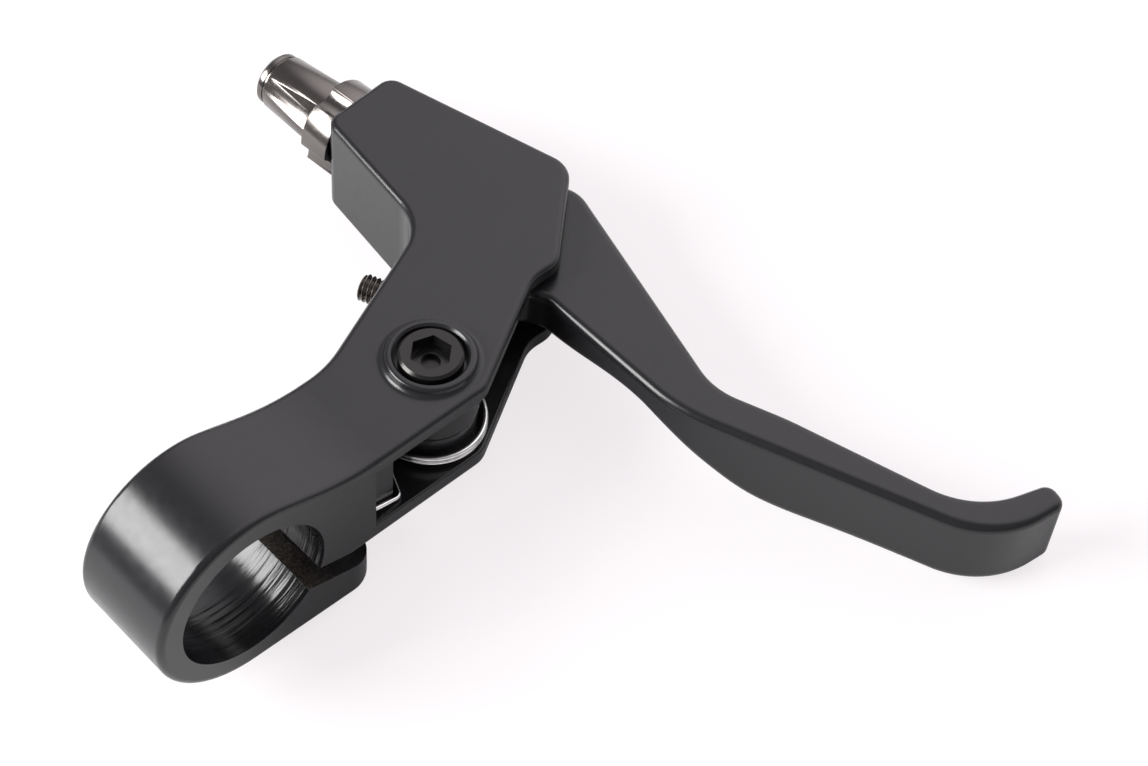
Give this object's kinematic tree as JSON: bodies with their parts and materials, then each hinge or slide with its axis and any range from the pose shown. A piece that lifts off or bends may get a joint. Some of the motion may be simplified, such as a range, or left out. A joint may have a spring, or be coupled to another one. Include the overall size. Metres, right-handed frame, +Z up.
{
  "type": "bicycle brake lever",
  "caption": "Right-hand bicycle brake lever: split handlebar band, two-plate perch, S-bent finger blade on a sprung pivot, and a fluted cable barrel with lock ring.",
  "frame": {"origin": "centre of the handlebar bore, midway along the band", "axes": "+X along the handlebar towards the grip, +Y forward from the bar to the lever, +Z up through the top plate"},
  "size_m": [0.1266, 0.0986, 0.0303],
  "materials": {
    "black_aluminium": "satin black anodised",
    "black_steel": "black oxide",
    "bright_steel": "bright drawn wire",
    "black_polymer": "matt moulded",
    "black_nickel": "gloss black nickel plate"
  },
  "bodies": {
    "perch": {"perch_body": "black_aluminium", "pivot_bolt": "black_steel", "pivot_nut": "black_steel", "pivot_sleeve": "bright_steel", "clamp_bolt": "black_steel", "return_spring": "bright_steel"},
    "lever": {"lever_blade": "black_aluminium", "upper_bush": "black_polymer", "lower_bush": "black_polymer"},
    "barrel": {"barrel_adjuster": "black_nickel"},
    "lock_ring": {"barrel_lock_ring": "black_nickel"},
    "reach_screw": {"reach_screw": "black_steel"}
  },
  "joints": [
    {"name": "lever_pivot", "type": "hinge", "parent": "perch", "child": "lever", "pos_m": [0, 0.0356, 0.003], "axis": [0, 0, 1], "range_deg": [-45, 0], "stiffness_Nm_per_rad": 0.1, "springref_deg": 57.3, "deforming": ["return_spring"]},
    {"name": "barrel_slide", "type": "slide", "parent": "perch", "child": "barrel", "axis": [-0.9965, -0.0837, 0], "range_m": [0, 0.005]},
    {"name": "ring_spin", "type": "hinge", "parent": "barrel", "child": "lock_ring", "pos_m": [-0.04189, 0.05878, 0.00185], "axis": [-0.9965, -0.0837, 0], "continuous": true},
    {"name": "reach_slide", "type": "slide", "parent": "perch", "child": "reach_screw", "axis": [-0.9213, -0.3888, 0], "range_m": [0, 0.003]}
  ]
}
